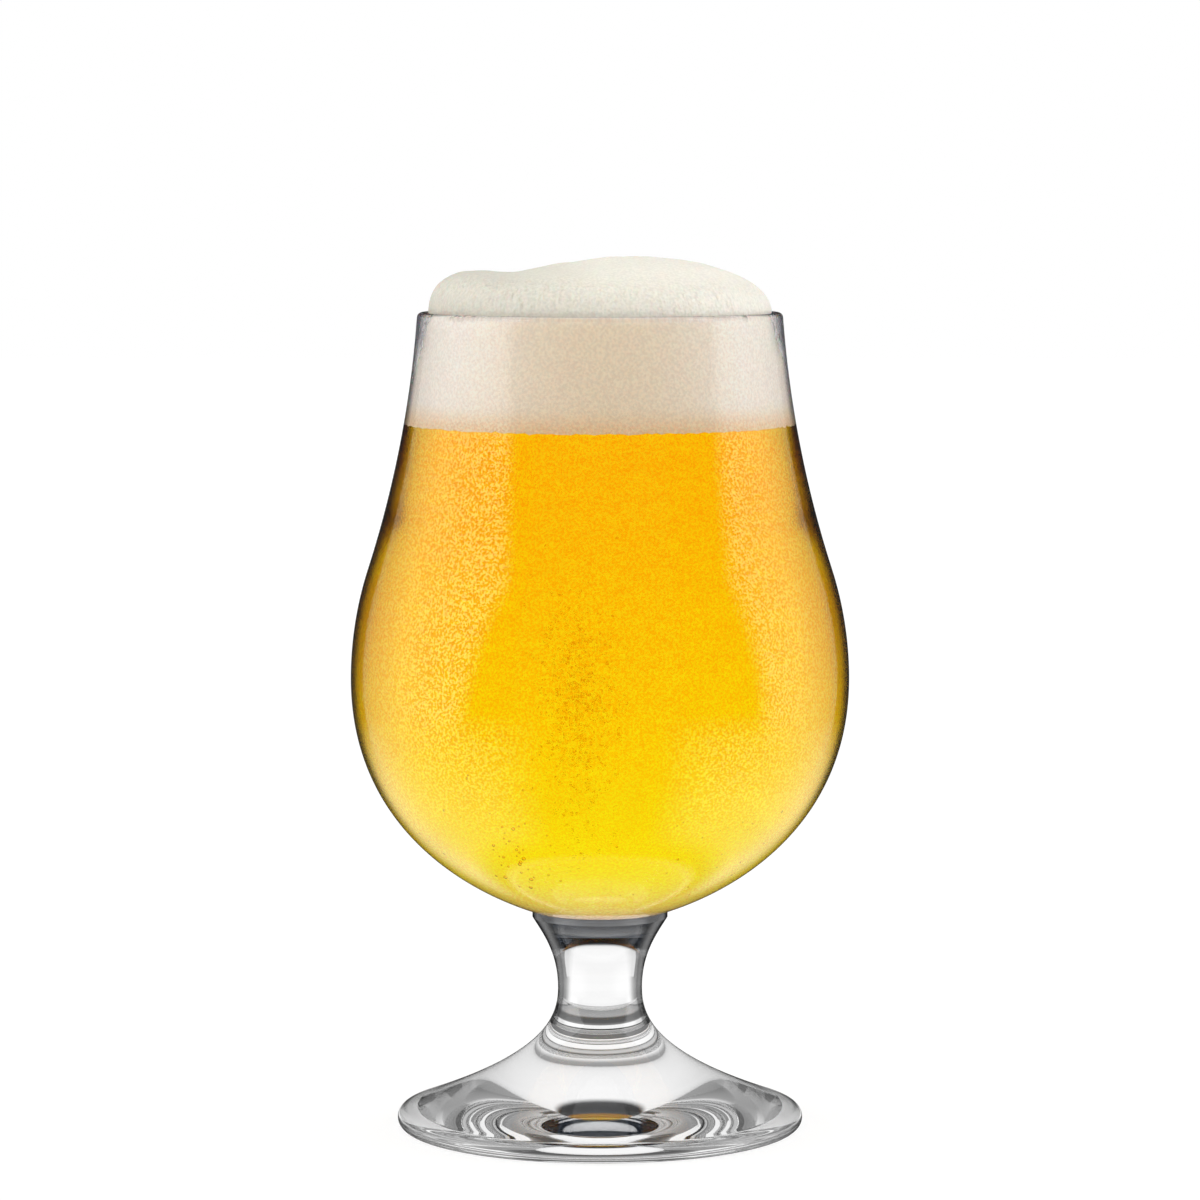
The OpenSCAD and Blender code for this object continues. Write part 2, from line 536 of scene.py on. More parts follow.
# Greys by the distance from the axis, as a share of RINGS_TO
RINGS = (
    (0.0, 0.3),
    (0.26, 0.42),
    (0.31, 0.1),
    (0.46, 0.12),
    (0.54, 0.3),
    (0.62, 0.4),
    (0.66, 0.9),
    (0.71, 0.85),
    (0.73, 0.15),
    (0.75, 0.6),
    (0.77, 0.6),
    (0.785, 0.12),
    (0.8, 0.5),
    (0.82, 0.12),
    (0.86, 0.2),
    (0.89, 1.0),
)
# Painted shade: beyond the foot, at the left and right, the table shows grey through the stem and foot.
GREY_PAST, GREY_ASIDE, SIDE_GREY = (44, 50), (0.5, 0.7), (0.3, 0.3, 0.3)
rings = stops(tree, reckoned(tree, "DIVIDE", away, RINGS_TO), *RINGS)
greyed = product(tree, eased_mm(tree, away, *GREY_PAST), eased(tree, aside, *GREY_ASIDE))
rings = mixed(tree, greyed, rings, SIDE_GREY)
rings = mixed(tree, thin_glass(tree, path), WHITE, rings)
through = glowing(tree, 1.0, rings)
print(len(RINGS), "greys under the foot, up to %.1f mm from the axis" % (RINGS[-1][0] * RINGS_TO / MM))

# %% The table in mirrors and to the camera
# Painted light: to mirrors the table glows near the foot at the left and right, a pale sheen on the glass.
SHEEN_FROM, SHEEN_TO, SHEEN_ASIDE = (40, 65), (120, 500), (0.4, 0.9)
SHEEN_LIGHT, TABLE_LIGHT = 1.3, 1.06
SHADOW_TO, SHADOW_SHARE = (60, 300), 0.25
near = eased_mm(tree, away, *SHEEN_FROM)
share = product(tree, near, eased_mm(tree, away, *SHEEN_TO, 1.0, 0.0), eased(tree, aside, *SHEEN_ASIDE))
mirrored = either(tree, share, see_through(tree), glowing(tree, SHEEN_LIGHT))
shadow = eased_mm(tree, away, *SHADOW_TO, SHADOW_SHARE, 0.0)
finish = either(tree, path["Is Glossy Ray"], matt, mirrored)
finish = either(tree, path["Is Transmission Ray"], finish, through)
finish = either(tree, path["Is Camera Ray"], finish, either(tree, shadow, glowing(tree, TABLE_LIGHT), matt))
wear(tree, finish)
print("the shadow reaches", SHADOW_TO[1], "mm from the axis")

# %% [markdown]
# ## Clear glass
# The bowl is blown, the stem is drawn and the foot is pressed, and all three are fused into one body of
# glass. Clear glass shows its edges dark, because there it bends light in from far to the side, where a
# studio is dark. Here that dark is painted shade: the finish darkens with the slant of the surface, so
# that the edges are drawn from every side alike.

# %% Glass surface
GLASS_INDEX = 1.5


def grain(tree, place, per_metre, detail=1.0):
    """Fine irregular cells."""
    inputs = {"Vector": place, "Scale": per_metre, "Detail": detail, "Roughness": 0.5}
    return wire(tree, "ShaderNodeTexNoise", inputs).outputs[0]


def bumped(tree, height, depth):
    """A surface direction that follows a height of up to this depth."""
    return wire(tree, "ShaderNodeBump", {"Strength": 1.0, "Distance": depth, "Height": height}).outputs[0]


def glass_surface(tree, inputs):
    """Clear glass with the inputs that a finish gives it."""
    clear = {"Roughness": 0.0, "IOR": GLASS_INDEX, "Transmission Weight": 1.0}
    return wire(tree, "ShaderNodeBsdfPrincipled", {**clear, **inputs}).outputs[0]


# %% [markdown]
# A cold beer mists the bowl: drops finer than a millimetre break up the sheen and speckle the beer.
# Modelled drops would be far too many, so a fine noise stands for them, as a tint, a duller sheen and a
# bump. There is little mist over the froth, where the wall is warmer, and on the round bottom.

# %% Mist on the bowl
DROPS_PER_METRE, DROP_DEPTH, DROP_STEP = 2300.0, 1.2e-5, (0.43, 0.57)
SPECKLE_TINT, DULL_SHEEN = (0.97, 0.62, 0.45), (0.05, 0.05, 0.05)
MIST_TO, MIST_ON_FROTH = (beer_h - 3, beer_h + 4), 0.2
MIST_FROM, MIST_ON_BOTTOM, MIST_SLANT = (50, 85), 0.4, (0.5, 0.75)
SHEEN_OVER = 54, 68
BOTTOM_TO, BOTTOM_EDGE_SHADE = (50, 68), ((0.88, 1.0), (0.96, 0.25))
RIM_FROM = rim_h - 9.5, rim_h - 3.5
RIM_EDGE_SHADE = (0.6, 1.0), (0.74, (0.3, 0.31, 0.35)), (0.82, (0.05, 0.055, 0.075))


def misted(tree, slant, tint):
    """The inputs that mist gives to glass with this slant and tint, with other painted edge shade at bottom
    and rim.
    """
    place, split = object_place(tree)
    z = split["Z"]
    # Painted shade: on the round bottom and near the rim, other greys by slant take the place of the bowl's
    # dark edges.
    tint = mixed(tree, eased_mm(tree, z, *BOTTOM_TO), stops(tree, slant, *BOTTOM_EDGE_SHADE), tint)
    tint = mixed(tree, eased_mm(tree, z, *RIM_FROM), tint, stops(tree, slant, *RIM_EDGE_SHADE))
    drops = grain(tree, place, DROPS_PER_METRE, detail=0.0)
    over_beer = eased_mm(tree, z, *MIST_TO, 1.0, MIST_ON_FROTH)
    fewer = eased_mm(tree, z, *MIST_FROM, MIST_ON_BOTTOM, 1.0)
    fewer = mixed(tree, eased(tree, slant, *MIST_SLANT), fewer, 1.0, "FLOAT")
    speckle = product(tree, eased(tree, drops, *DROP_STEP), over_beer, fewer)
    sheen = mixed(tree, speckle, WHITE, DULL_SHEEN)
    return {
        "Base Color": tinted(tree, tint, mixed(tree, speckle, WHITE, SPECKLE_TINT)),
        "Specular Tint": mixed(tree, eased_mm(tree, z, *SHEEN_OVER), BLACK, sheen),
        "Normal": bumped(tree, drops, DROP_DEPTH),
    }


# %% [markdown]
# The collar under the bowl is thick, and its far side shows the seam's dark reflection again. So the stem's
# finish has painted shade, nearly black, in the collar where light leaves the glass, and is clear elsewhere.
# The three finishes differ only in the painted shade that darkens them with the slant, in the mist and in
# that painted shade in the collar, so one function makes them all.

# %% Glass finishes
# Painted shade in the collar: a near-black tint where light leaves the stem, from this depth under the seam
# up.
COLLAR_SHADE, COLLAR_SHADE_FADE, COLLAR_SHADE_DEPTH = (0.012, 0.014, 0.018), 1.0, 4.1


def clear_glass(name, edge_shade_stops, mist=False, shade_from=None):
    """Clear glass with painted shade that darkens it with its slant. It can carry mist, or painted shade
    inside from a height up.
    """
    finish, tree = fresh_finish(name)
    slant = slanted(tree)
    tint = stops(tree, slant, *edge_shade_stops)
    inputs = misted(tree, slant, tint) if mist else {"Base Color": tint}
    if shade_from:
        _, split = object_place(tree)
        upper = eased_mm(tree, split["Z"], shade_from, shade_from + COLLAR_SHADE_FADE)
        inputs["Base Color"] = mixed(tree, product(tree, leaving(tree), upper), tint, COLLAR_SHADE)
    wear(tree, glass_surface(tree, inputs))
    print(name, "with", len(edge_shade_stops), "tints from facing to edge on")
    return finish


# Painted shade by slant, from facing to edge on, that draws the dark edges of the glass.
BOWL_EDGE_SHADE = (0.0, 1.0), (0.75, 1.0), (0.82, (0.28, 0.29, 0.32)), (0.88, (0.1, 0.11, 0.14))
STEM_EDGE_SHADE = (0.27, 1.0), (0.36, 0.62), (0.46, 0.58), (0.52, 0.06), (0.8, 0.05), (0.95, 0.3)
FOOT_EDGE_SHADE = (0.0, 1.0), (0.82, 1.0), (0.97, 0.3)
bowl_clear = clear_glass("bowl_clear_glass", BOWL_EDGE_SHADE, mist=True)
stem_clear = clear_glass("stem_clear_glass", STEM_EDGE_SHADE, shade_from=seam_h - COLLAR_SHADE_DEPTH)
foot_clear = clear_glass("foot_clear_glass", FOOT_EDGE_SHADE)

# %% [markdown]
# Where glass is fused to glass, or wet, it has no surface of its own, so those faces let light straight
# through. The seam under the bowl is the one that shows, as an opaque surface with a painted reflection:
# dark grey from below near its rim and where it is seen aslant, for the dark room that it mirrors, and pale
# elsewhere, a painted light for what a clear seam would let through.

# %% Seams
# Painted reflection on the seam: dark greys mottled at random, lighter near its rim, and pale where it would
# let light through.
MOTTLE_PER_METRE = 220.0
REFLECTION_GREYS = (0.35, (0.016, 0.022, 0.033)), (0.65, (0.042, 0.056, 0.08))
SEAM_RIM, SEAM_RIM_FROM = (0.085, 0.105, 0.14), (10.4, 11.2)
SEAM_PALE, DARK_FROM, DARK_SLANT = (0.9, 0.91, 0.93), (8.5, 9.5), (0.35, 0.5)
seam, tree = fresh_finish("fused_seam")
wear(tree, see_through(tree))
seam_reflection, tree = fresh_finish("seam_painted_reflection")
place, _ = object_place(tree)
out = from_axis(tree, place)
mottled_reflection = stops(tree, grain(tree, place, MOTTLE_PER_METRE, detail=2.0), *REFLECTION_GREYS)
mottled_reflection = mixed(tree, eased_mm(tree, out, *SEAM_RIM_FROM), mottled_reflection, SEAM_RIM)
near_rim = eased_mm(tree, out, *DARK_FROM)
dark_part = reckoned(tree, "MAXIMUM", near_rim, eased(tree, slanted(tree), *DARK_SLANT))
mottled_reflection = mixed(tree, product(tree, dark_part, leaving(tree)), SEAM_PALE, mottled_reflection)
inputs = {"Base Color": mottled_reflection, "Roughness": 0.3, "Specular IOR Level": 0.2}
wear(tree, wire(tree, "ShaderNodeBsdfPrincipled", inputs).outputs[0])
print(seam.name, "is clear and", seam_reflection.name, "is dark from", DARK_FROM[1], "mm out")

# %% [markdown]
# ## The bowl
# A blown bowl has one even wall with a rounded rim. Beer wets its inside up to the froth, and the froth
# touches it nearly up to the rim, but has drawn back a little at the left and right. One formula says how
# high the froth reaches on each side, for the wall's finish here and for the shape of the froth later.

# %% How high the froth touches the wall
TOUCH_H, BACK_FROM = rim_h - 0.7, 0.93
BACK_LEFT, BACK_RIGHT, MIDDLE = 13.0, 10.0, (-1.0, 1.0)


def contact_height(bearing):
    """How high the froth touches the wall, by the bearing round the axis."""
    sideways = math.cos(bearing)
    back = min(1.0, max(0.0, (abs(sideways) - BACK_FROM) / (1 - BACK_FROM)))
    return TOUCH_H - (BACK_LEFT if sideways < 0 else BACK_RIGHT) * back * back * (3 - 2 * back)


print("the froth touches up to", TOUCH_H, "mm, and at the left", contact_height(math.pi), "mm")

# %% Inside of the wall near the rim
CRINKLES_PER_METRE, CRINKLE_DEPTH, CRINKLE_STEP = 450.0, 2.0e-4, (0.3, 0.7)
# Painted shade: the bare glass above the froth darkens with its slant, as the outer glass does.
DRY_EDGE_SHADE = (0.2, 1.0), (0.25, 0.5), (0.28, 0.15)
DRY_FADE = 0.3
wall_inside, tree = fresh_finish("wall_inside")
place, split = object_place(tree)
sideways = sideways_share(tree, split["X"], from_axis(tree, place))
drawn_back = eased_mm(tree, split["X"], *MIDDLE, BACK_LEFT * MM, BACK_RIGHT * MM)
drawn_back = product(tree, eased(tree, sideways, BACK_FROM, 1.0), drawn_back)
crinkle = grain(tree, place, CRINKLES_PER_METRE, detail=2.0)
level = reckoned(tree, "ADD", split["Z"], drawn_back)
level = reckoned(tree, "ADD", level, eased(tree, crinkle, *CRINKLE_STEP, -MM, MM))
crinkled = bumped(tree, crinkle, CRINKLE_DEPTH)
dry_edge_shade = stops(tree, slanted(tree, Normal=crinkled), *DRY_EDGE_SHADE)
dry = glass_surface(tree, {"Base Color": dry_edge_shade, "Normal": crinkled})
bare = eased_mm(tree, level, TOUCH_H, TOUCH_H + DRY_FADE)
wear(tree, either(tree, bare, see_through(tree), dry))
print(wall_inside.name, "is bare above the froth and clear below")

# %% Bowl
RIM_STEPS, INSIDE_MARGIN = 16, 2.0
outer = seat_line(0)[::-1] + bowl_line(0)[::-1]
round_c = rim_end - wall / 2 * rim_out
rim_round = arc(round_c, wall / 2, rim_lean, rim_lean + math.pi, RIM_STEPS)[:-1]
bowl_outline = outer + rim_round + bowl_line(wall) + seat_line(wall)
first_inner = len(outer) + len(rim_round)


def bowl_finish(stretch):
    """Clear outside, wet inside, and the inside near the rim, where the froth has drawn back."""
    if stretch < first_inner:
        return 0
    return 2 if bowl_outline[stretch][1] > TOUCH_H - BACK_LEFT - INSIDE_MARGIN else 1


def keep(piece, node):
    """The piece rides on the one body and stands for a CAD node."""
    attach(piece, "root")
    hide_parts(node)


bowl = turned("bowl_glass", bowl_outline, [bowl_clear, seam, wall_inside], bowl_finish)
keep(bowl, "bowl")

# %% [markdown]
# ## The stem
# The stem is drawn out of the same hot glass: a collar that cups the bowl, and a flare in to the waist,
# where it is fused to the foot. Its top is the visible seam. It sits a hair below the bowl, so that no two
# faces share a place.

# %% Stem
collar_edge, collar_slant, collar_reach = 1.2, math.radians(31.5), 3.6
waist_r, waist_h, waist_reach = 8.0, 26.6, 6.8
SEAM_GAP, STEM_STEPS = 0.03, 60
collar_low = point(collar_r, seam_h - collar_edge)
stem_side = (
    collar_low,
    collar_low - collar_reach * point(math.sin(collar_slant), math.cos(collar_slant)),
    point(waist_r, waist_h + waist_reach),
    point(waist_r, waist_h),
)
stem_outline = [point(0, waist_h)] + curve(stem_side, STEM_STEPS)[::-1] + [collar_low, seam_end]
top_start = len(stem_outline) - 1
stem_outline += [p - point(0, SEAM_GAP) for p in seat_line(0)]


def stem_finish(stretch):
    """Clear at the side, fused at the waist, and the seam with its painted reflection at the top."""
    return 1 if stretch == 0 else 2 if stretch >= top_start else 0


stem = turned("stem_glass", stem_outline, [stem_clear, seam, seam_reflection], stem_finish)
keep(stem, "stem")

# %% [markdown]
# ## The foot
# The foot is pressed: its top sweeps out from the waist to a thin rounded edge, and its underside is
# hollowed a little, so that it stands on a ring and doesn't rock. The flare below the waist looks like the
# stem above it, so it has the stem's finish.

# %% Foot
foot_r, edge_r, foot_slope, foot_reach, flare_h = 38.55, 2.0, math.radians(19.7), 27.6, 6.4
ring_w, hollow_h = 3.2, 1.6
FLARE_TO = 20.0
HOLLOW_STEPS, EDGE_STEPS, TOP_STEPS = 80, 24, 90
edge_c = point(foot_r - edge_r, edge_r)
edge_top = edge_c + edge_r * point(math.sin(foot_slope), math.cos(foot_slope))
foot_top = (
    point(waist_r, waist_h),
    point(waist_r, waist_h - flare_h),
    edge_top + foot_reach * point(-math.cos(foot_slope), math.sin(foot_slope)),
    edge_top,
)
hollow_r = foot_r - edge_r - ring_w
ball_r = (hollow_r**2 + hollow_h**2) / (2 * hollow_h)
hollow = np.linspace(0, hollow_r, HOLLOW_STEPS + 1)
foot_outline = (
    [point(r, hollow_h - ball_r + math.sqrt(ball_r**2 - r**2)) for r in hollow]
    + arc(edge_c, edge_r, math.pi / 2 - foot_slope, -math.pi / 2, EDGE_STEPS)[::-1]
    + curve(foot_top, TOP_STEPS)[::-1]
    + [point(waist_r, waist_h), point(0, waist_h)]
)


def foot_finish(stretch):
    """Clear glass, the stem's finish on the flare, and fused at the waist."""
    if stretch == len(foot_outline) - 2:
        return 1
    return 2 if foot_outline[stretch][1] > FLARE_TO else 0


foot = turned("foot_glass", foot_outline, [foot_clear, seam, stem_clear], foot_finish)
keep(foot, "foot")

# %% [markdown]
# ## The beer
# Lager is clear and swallows blue light first and green light next, so a deep glass of it is amber and a
# shallow one pale straw. Part of that is real absorption over the way the light takes through the liquid.
# The rest is a tint on the surface: painted light makes the beer paler at the bottom, and painted shade
# makes it darker and browner at the edges, which gives each height the tone that it has in the photograph.
# The surface between beer and glass bends light only by the ratio of their two indices.

# %% Beer's tints
# Painted shade by slant, at the belly and at the neck
BROWN_EDGE_SHADE = (
    (0.17, 1.0),
    (0.21, (0.88, 0.82, 0.8)),
    (0.235, (0.82, 0.75, 0.72)),
    (0.252, (0.6, 0.53, 0.5)),
    (0.28, (0.4, 0.34, 0.32)),
)
NECK_EDGE_SHADE = (
    (0.17, 1.0),
    (0.2, (0.93, 0.96, 0.96)),
    (0.23, (0.84, 0.92, 0.92)),
    (0.25, (0.77, 0.88, 0.88)),
    (0.275, (0.66, 0.81, 0.83)),
    (0.295, (0.72, 0.91, 0.95)),
)
# Tints by height, from near the bottom to the top of the beer: its amber, with painted light that makes it
# paler toward the bottom
AMBER = (
    (0.0, (1.0, 1.0, 0.7)),
    (0.032, (1.0, 1.0, 0.36)),
    (0.085, (1.0, 1.0, 0.13)),
    (0.15, (1.0, 0.95, 0.02)),
    (0.21, (1.0, 0.93, 0.012)),
    (0.42, (1.0, 0.84, 0.01)),
    (0.63, (1.0, 0.77, 0.01)),
    (0.8, (1.0, 0.69, 0.01)),
    (0.95, (1.0, 0.66, 0.01)),
)
print("tints of beer:", len(BROWN_EDGE_SHADE) + len(NECK_EDGE_SHADE), "by slant and", len(AMBER), "by height")

# %% Beer finish
BEER_INDEX = 1.345
NECK_FROM, BROWN_FROM, AMBER_FROM = (100, 114), (60, 100), 43.4
DEPTH_COLOUR, DEPTH_DENSITY = (0.999, 0.95, 0.5), 30.0
beer_gold, tree = fresh_finish("golden_beer")
_, split = object_place(tree)
slant = slanted(tree)
neck = eased_mm(tree, split["Z"], *NECK_FROM)
brown = mixed(tree, neck, stops(tree, slant, *BROWN_EDGE_SHADE), stops(tree, slant, *NECK_EDGE_SHADE))
brown = mixed(tree, eased_mm(tree, split["Z"], *BROWN_FROM), WHITE, brown)
height = {"Value": split["Z"], "From Min": AMBER_FROM * MM, "From Max": beer_h * MM}
amber = stops(tree, wire(tree, "ShaderNodeMapRange", height).outputs[0], *AMBER)
tint = mixed(tree, leaving(tree), tinted(tree, brown, amber), WHITE)
inputs = {"Color": tint, "Roughness": 0.0, "IOR": BEER_INDEX / GLASS_INDEX}
liquid = wire(tree, "ShaderNodeBsdfGlass", inputs).outputs[0]
inputs = {"Color": DEPTH_COLOUR, "Density": DEPTH_DENSITY}
wear(tree, liquid, Volume=wire(tree, "ShaderNodeVolumeAbsorption", inputs).outputs[0])
print(beer_gold.name, "index %.3f against glass" % (BEER_INDEX / GLASS_INDEX))

# %% Beer
FILL_GAP, TOP_RINGS = 0.1, 12
TINY = 1e-6


def with_ring(line, level):
    """The outline with one more point, where it crosses a height."""
    k = max(i for i, p in enumerate(line) if p[1] > level)
    a, b = line[k], line[k + 1]
    return line[: k + 1] + [a + (b - a) * (a[1] - level) / (a[1] - b[1])] + line[k + 1 :]


wet_line = [p for p in with_ring(bowl_line(wall + FILL_GAP), beer_h) if p[1] <= beer_h + TINY]
brim_r = wet_line[0][0]
wet_up = (wet_line + seat_line(wall + FILL_GAP))[::-1]
top = [point(brim_r * k / TOP_RINGS, beer_h) for k in range(TOP_RINGS - 1, -1, -1)]
beer = turned("beer_liquid", wet_up + top, [beer_gold])
keep(beer, "beer")

# %% [markdown]
# Gas leaves the beer in bubbles. Most rise in a loose stream a little left of the middle, some cling to the
# wall lower down, and a few larger ones sit together at the lower left. Particles could scatter them, but a
# few random draws say more simply where each one is.

# %% Random draws
SEED, CLING_GAP = 7, 0.25
chance = np.random.default_rng(SEED)


def scattered(places, spreads):
    """A random number about each place."""
    return [chance.normal(place, spread) for place, spread in zip(places, spreads)]


def bubble_size(least, more, power):
    """A random radius. With a higher power, large ones are rarer."""
    return least + more * chance.random() ** power


def wall_reach(z, size):
    """How far from the axis a bubble lies that clings to the wall."""
    return np.interp(z, [p[1] for p in wet_up], [p[0] for p in wet_up]) - size - CLING_GAP


# %% Where the bubbles are
STREAM, CLINGING, CLUSTER = 900, 160, 30
STREAM_AT, STREAM_SPREAD, STREAM_HEIGHTS = (-3.0, 0.0, 83.0), (2.6, 2.6, 8.5), (60.0, 120.0)
CLING_FROM, CLING_RISE = 48.0, 24.0
CLUSTER_AT, CLUSTER_SPREAD = (-16.5, 57.0), (3.0, 3.2)
STREAM_SIZE, CLING_SIZE, CLUSTER_SIZE = (0.09, 0.08), (0.1, 0.16), (0.18, 0.26)
bubbles = []
for _ in range(STREAM):
    x, y, z = scattered(STREAM_AT, STREAM_SPREAD)
    z = min(max(z, STREAM_HEIGHTS[0]), STREAM_HEIGHTS[1])
    bubbles.append((x, y, z, bubble_size(*STREAM_SIZE, 1)))
for _ in range(CLINGING):
    bearing = 2 * math.pi * chance.random()
    z = CLING_FROM + CLING_RISE * chance.random()
    size = bubble_size(*CLING_SIZE, 2)
    r = wall_reach(z, size)
    bubbles.append((r * math.cos(bearing), r * math.sin(bearing), z, size))
for _ in range(CLUSTER):
    x, z = scattered(CLUSTER_AT, CLUSTER_SPREAD)
    size = bubble_size(*CLUSTER_SIZE, 2)
    r = wall_reach(z, size)
    bubbles.append((x, -math.sqrt(max(0.0, r * r - x * x)), z, size))
print("bubbles", len(bubbles))

# %% [markdown]
# Each bubble is a small ball of gas in the liquid, so light bends the other way at its surface, and the
# larger part of it looks dark against the bright beer. Its finish adds painted tints, amber and darker where
# it is seen aslant. Those that cling to the wall look lighter than the stream, because there is less beer in
# front of them, so they have a finish of their own with lighter painted tints.

# %% Bubble finishes
STREAM_INDEX, CLING_INDEX = 1.12, 1.22


def gas(name, index, *painted_tints):
    """A ball of gas, by how strongly it bends light and the painted tints that shade it with its slant."""
    finish, tree = fresh_finish(name)
    inputs = {"Color": stops(tree, slanted(tree), *painted_tints), "Roughness": 0.0, "IOR": index / BEER_INDEX}
    wear(tree, wire(tree, "ShaderNodeBsdfGlass", inputs).outputs[0])
    print(name, "index %.3f against beer" % (index / BEER_INDEX))
    return finish


# Painted tints: amber and darker where the ball is seen aslant, and lighter for the bubbles on the wall.
bubble_gas = gas("bubble_gas", STREAM_INDEX, (0.0, (0.97, 0.88, 0.6)), (0.6, (0.85, 0.7, 0.4)))
clinging_gas = gas("clinging_gas", CLING_INDEX, (0.0, (1.0, 0.9, 0.55)), (0.6, (0.95, 0.72, 0.3)))

# %% Bubbles
ball = bmesh.new()
bmesh.ops.create_icosphere(ball, subdivisions=2, radius=1.0)
ball_points = np.array([v.co for v in ball.verts])
ball_faces = np.array([[v.index for v in f.verts] for f in ball.faces])
ball.free()
points = np.concatenate([ball_points * size + (x, y, z) for x, y, z, size in bubbles]) * MM
faces = np.concatenate([ball_faces + k * len(ball_points) for k in range(len(bubbles))])
marks = [int(k >= STREAM) for k in range(len(bubbles)) for _ in ball_faces]
bubble_finishes = [bubble_gas, clinging_gas]
bubble_cloud = smooth_piece("beer_bubbles", points.tolist(), faces.tolist(), bubble_finishes, marks)
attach(bubble_cloud, "root")

# %% [markdown]
# ## The head of froth
# Froth is a packing of bubbles finer than a millimetre. Light scatters in it many times, so it is white,
# and takes a warm tone where it is wet with beer and pressed against the glass; painted light makes that
# wet froth paler where it is seen aslant. Painted shade makes the dry crown above the rim greyer at the
# left, where less light falls, and darker low down than at its top, and its steep edge is drawn into fine
# upright folds.

# %% Froth's tones
WET_AND_LIT = (0.0, (0.94, 0.81, 0.61)), (0.1, (0.985, 0.905, 0.785)), (0.16, (0.985, 0.931, 0.85))
SOAKED, SOAKED_TO, SOAKED_SHARE = (0.965, 0.72, 0.42), (beer_h - 0.5, beer_h + 5), 0.75
DRY = (0.0, (0.585, 0.56, 0.48)), (0.5, (0.74, 0.71, 0.615)), (1.0, (0.75, 0.72, 0.64))
DRY_ACROSS, DRY_FROM = (-30, 30), (rim_h - 1.2, rim_h - 0.2)
SHADE_OVER, SHADE = (rim_h, rim_h + 9), (0.87, 1.08)
froth_cream, tree = fresh_finish("foam")
place, split = object_place(tree)
# Painted light and shade: the wet tones grow paler with the slant, and the dry ones are greyer to the left
# and lower on the crown.
wet = stops(tree, slanted(tree), *WET_AND_LIT)
wet = mixed(tree, eased_mm(tree, split["Z"], *SOAKED_TO, SOAKED_SHARE, 0.0), wet, SOAKED)
dry = stops(tree, eased_mm(tree, split["X"], *DRY_ACROSS), *DRY)
dry = tinted(tree, dry, eased_mm(tree, split["Z"], *SHADE_OVER, *SHADE))
tone = mixed(tree, eased_mm(tree, split["Z"], *DRY_FROM), wet, dry)
print(froth_cream.name, "has", len(WET_AND_LIT), "wet and", len(DRY), "dry tones")

# %% Froth's cells and folds
CELLS_PER_METRE, CELL_STEP, CELL_SHADE = 1900.0, (0.35, 0.65), (0.9, 1.0)
FOLDS_PER_METRE, FOLD_DRAWN, FOLD_SHARE = 900.0, (1, 1, 0.3), 4.0
FOLDS_OUT, FOLDS_UP = (26, 31), (rim_h - 1, rim_h + 1)
FROTH_DEPTH, FROTH_SCATTER = 1.7e-4, 0.002
cells = grain(tree, place, CELLS_PER_METRE)
tone = tinted(tree, tone, eased(tree, cells, *CELL_STEP, *CELL_SHADE))
folds = grain(tree, stretched(tree, place, FOLD_DRAWN), FOLDS_PER_METRE)
out = from_axis(tree, place)
edge = product(tree, eased_mm(tree, out, *FOLDS_OUT), eased_mm(tree, split["Z"], *FOLDS_UP))
relief = reckoned(tree, "ADD", product(tree, edge, FOLD_SHARE, folds), cells)
inputs = {
    "Base Color": tone,
    "Roughness": 0.7,
    "Subsurface Weight": 0.3,
    "Subsurface Scale": FROTH_SCATTER,
    "Normal": bumped(tree, relief, FROTH_DEPTH),
}
wear(tree, wire(tree, "ShaderNodeBsdfPrincipled", inputs).outputs[0])
print("cells of about %.1f mm" % (1 / (CELLS_PER_METRE * MM)))

# %% [markdown]
# Poured froth stands above the rim: a low steep shoulder on the left, and a fuller round one on the right.
# It could be sculpted by hand, but two dome formulas that pass into each other round the axis, with a few
# swells and dents, give the same shape each time.

# %% Crown
CROWN_GAP, CROWN_RINGS = 0.15, 60
crown_r = rim_r - wall - CROWN_GAP
LEFT_H, LEFT_SQUARENESS, PEAK_H, PEAK_W = 8.0, 10, 2.4, 9.5
RIGHT_H, RIGHT_SQUARENESS = 10.5, 2.6
# A swell has a width, a layer of the noise and a height, and a dent a place, a width and a depth.
SWELLS = {"wide": (9.0, 2, 0.3), "fine": (3.5, 5, 0.14)}
DENTS = {"left": (-17.0, 4.0, 0.7), "middle": (-3.0, 3.5, 0.5)}
SMOOTH_EDGE = 6.0


def crown(x, y):
    """Height of the crown above the rim."""
    r = math.hypot(x, y)
    t = min(r / crown_r, 1.0)
    left = LEFT_H + PEAK_H * math.exp(-((r / PEAK_W) ** 2))
    left *= math.sqrt(max(0.0, 1 - t**LEFT_SQUARENESS))
    right = RIGHT_H * math.sqrt(max(0.0, 1 - t**RIGHT_SQUARENESS))
    k = 0.5 + 0.5 * (x / r if r > TINY else 0.0)
    k = k * k * (3 - 2 * k)
    swell = sum(h * noise.noise(Vector((x / w, y / w, layer))) for w, layer, h in SWELLS.values())
    dents = sum(depth * math.exp(-(((x - at) / w) ** 2)) for at, w, depth in DENTS.values())
    return left + (right - left) * k + (swell - dents) * min(1.0, (1 - t) * SMOOTH_EDGE)


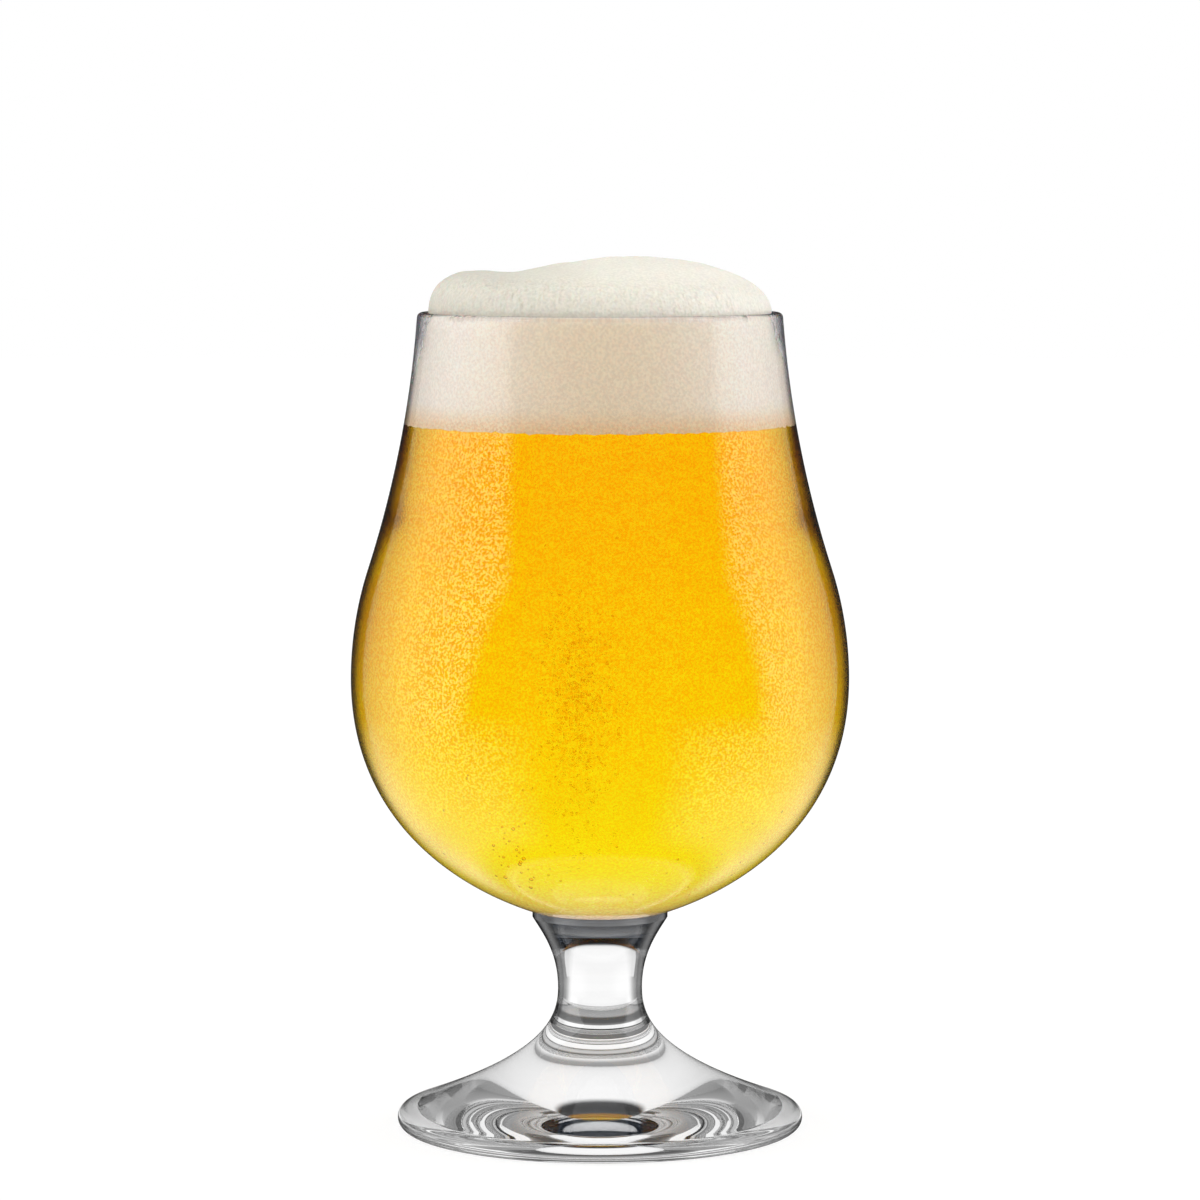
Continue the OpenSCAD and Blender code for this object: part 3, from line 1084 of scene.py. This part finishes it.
print("crown %.1f mm high in the middle" % crown(0, 0))

# %% Outline of the foam head
FROTH_GAP, SOAK, TOUCH_TO, CROWN_ROOT = 0.05, 0.3, 1.0, 0.5
soak_h = beer_h - SOAK
touch_line = with_ring(bowl_line(wall + FROTH_GAP), soak_h)
touch_line = [p for p in touch_line if soak_h - TINY < p[1] < rim_h - TOUCH_TO]
foam_outline = [point(brim_r * k / TOP_RINGS, soak_h) for k in range(TOP_RINGS + 1)]
first_touch = len(foam_outline)
foam_outline += touch_line[::-1] + [point(crown_r, rim_h - CROWN_ROOT)]
first_crown = len(foam_outline)
quarter = np.linspace(0, math.pi / 2, CROWN_RINGS + 1)
foam_outline += [point(crown_r * math.cos(angle), rim_h) for angle in quarter]
foam_outline[-1][0] = 0
print("foam outline of", len(foam_outline), "points, the crown from", first_crown)

# %% Foam head
WAVE_H, WAVE_W, WAVE_LAYER, WAVE_IN = 0.4, 1.2, 3, 0.4
DRAWN_IN = 0.25
foam = turned("foam_head_froth", foam_outline, [froth_cream])
for v in foam.data.vertices:
    ring = (v.index - 1) // TURNS + 1
    x, y, z = (c / MM for c in v.co)
    inward = 0.0
    if ring >= first_crown:
        v.co.z = (rim_h + crown(x, y)) * MM
    elif ring in (first_touch - 1, first_touch):
        wave = WAVE_H * noise.noise(Vector((x / WAVE_W, y / WAVE_W, WAVE_LAYER)))
        v.co.z += wave * MM
        inward = WAVE_IN * max(0.0, wave)
    elif ring > first_touch and z > contact_height(math.atan2(y, x)):
        inward = DRAWN_IN
    if inward:
        v.co.x *= 1 - inward / math.hypot(x, y)
        v.co.y *= 1 - inward / math.hypot(x, y)
foam.data.update()
keep(foam, "foam_head")

# %% [markdown]
# ## Finishing
# Light has to pass many surfaces in a full glass, so paths may bounce often.

# %% Finish
scene = bpy.context.scene
scene.view_settings.view_transform = "Standard"
scene.cycles.max_bounces = 32
scene.cycles.transmission_bounces = 32
scene.cycles.transparent_max_bounces = 32
scene.cycles.glossy_bounces = 12
scene.cycles.diffuse_bounces = 8
